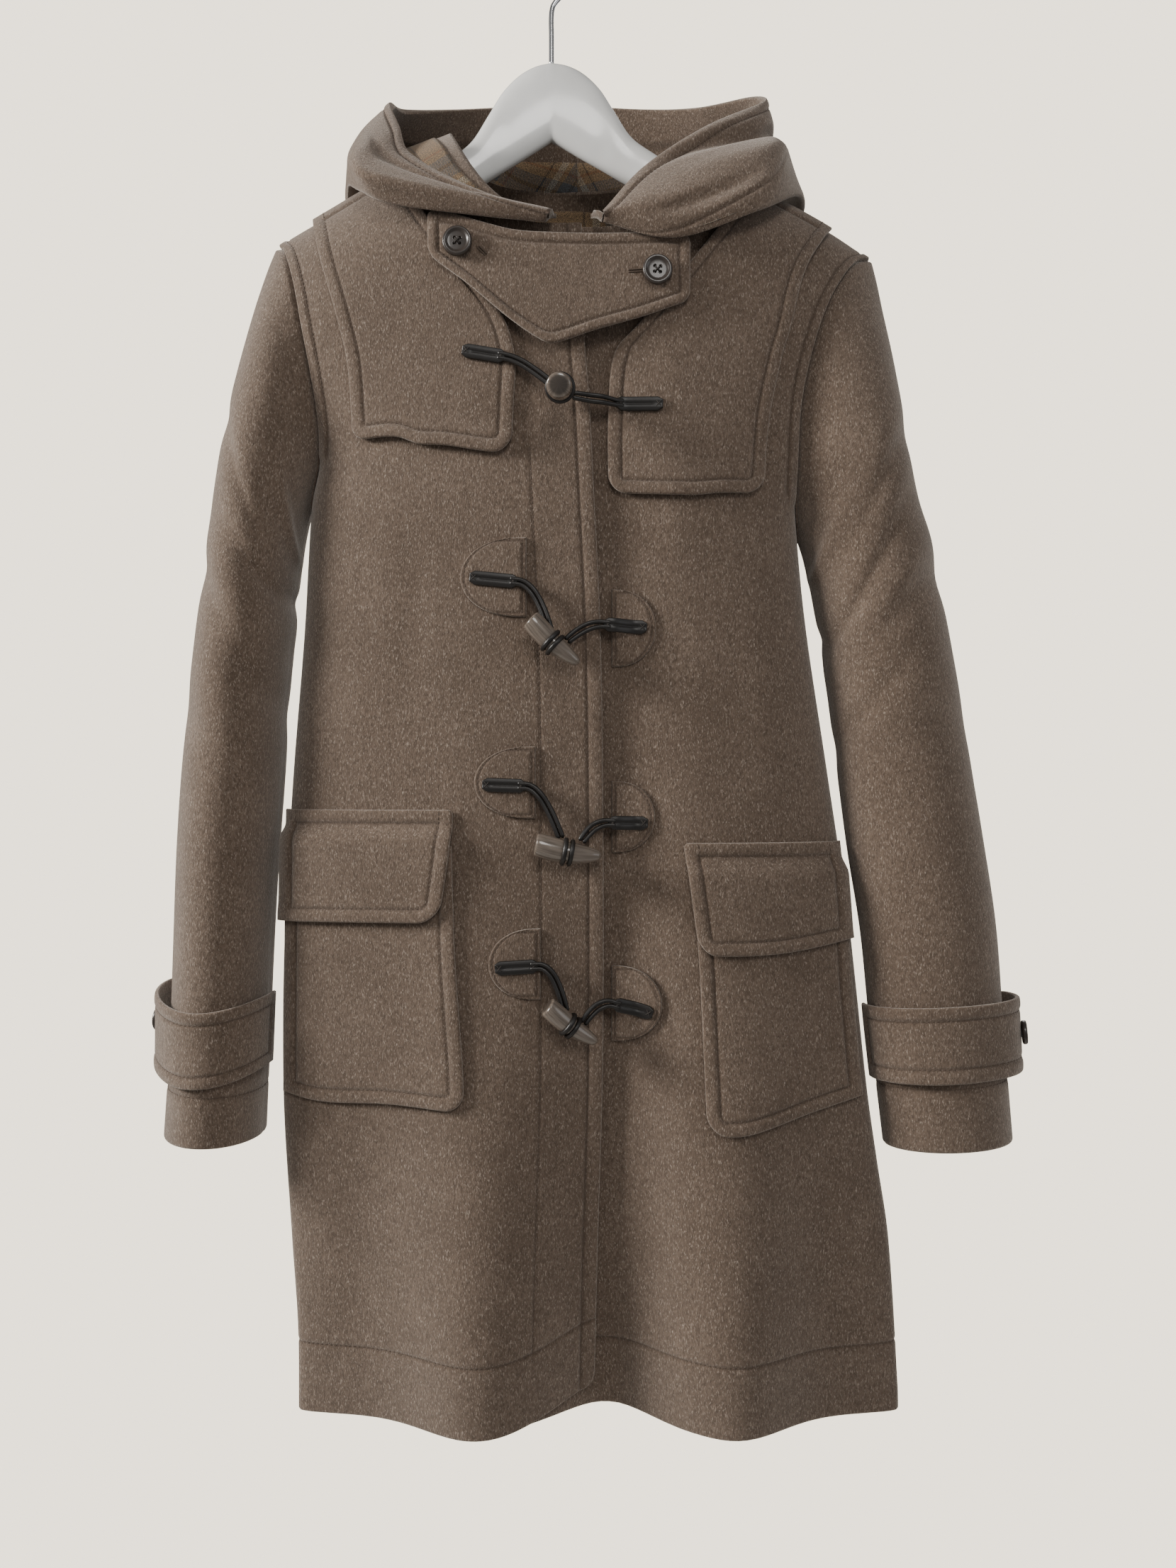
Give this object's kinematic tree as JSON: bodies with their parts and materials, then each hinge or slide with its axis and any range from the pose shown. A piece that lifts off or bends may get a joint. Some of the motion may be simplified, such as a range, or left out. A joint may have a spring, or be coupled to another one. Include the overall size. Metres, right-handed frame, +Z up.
{
  "type": "duffle coat on a hanger",
  "caption": "Hooded wool duffle coat with horn toggles on leather loops and flap pockets, hung open-hemmed on a moulded hanger.",
  "frame": {"origin": "underside of the hook's top, where a rail or a nail carries the hanger", "axes": "+Z up, the coat's front faces -Y, +X to the viewer's right"},
  "size_m": [0.6306, 0.2385, 1.0589],
  "materials": {
    "wool": "napped taupe-brown wool melton with fine lighter flecks",
    "lining": "woven wool check in tan, grey-blue, black and cream",
    "leather": "near-black leather with a soft shine",
    "horn": "polished grey-brown streaked horn",
    "button": "dark brown-grey four-hole button with a raised rim",
    "hanger": "glossy white moulding",
    "hook": "polished wire"
  },
  "bodies": {
    "root": {"front_left_panel": "wool", "front_right_panel": "wool", "back_panel": "wool", "sleeve_left": "wool", "sleeve_right": "wool", "yoke_left": "wool", "yoke_right": "wool", "throat_tab": "wool", "throat_button_left": "button", "throat_button_right": "button", "pocket_left": "wool", "pocket_flap_left": "wool", "pocket_right": "wool", "pocket_flap_right": "wool", "patch_left_2": "wool", "patch_left_3": "wool", "patch_left_4": "wool", "patch_right_2": "wool", "patch_right_3": "wool", "patch_right_4": "wool", "leather_left_1": "leather", "leather_left_2": "leather", "leather_left_3": "leather", "leather_left_4": "leather", "leather_right_1": "leather", "leather_right_2": "leather", "leather_right_3": "leather", "leather_right_4": "leather", "toggle_1": "horn", "toggle_2": "horn", "toggle_3": "horn", "toggle_4": "horn", "cuff_strap_left": "wool", "cuff_strap_right": "wool", "cuff_button_left": "button", "cuff_button_right": "button", "hood_left": "wool", "hood_right": "wool", "hood_lining_left": "lining", "hood_lining_right": "lining", "neck_lining": "lining", "hanger_body": "hanger", "hanger_hook": "hook"}
  },
  "joints": []
}
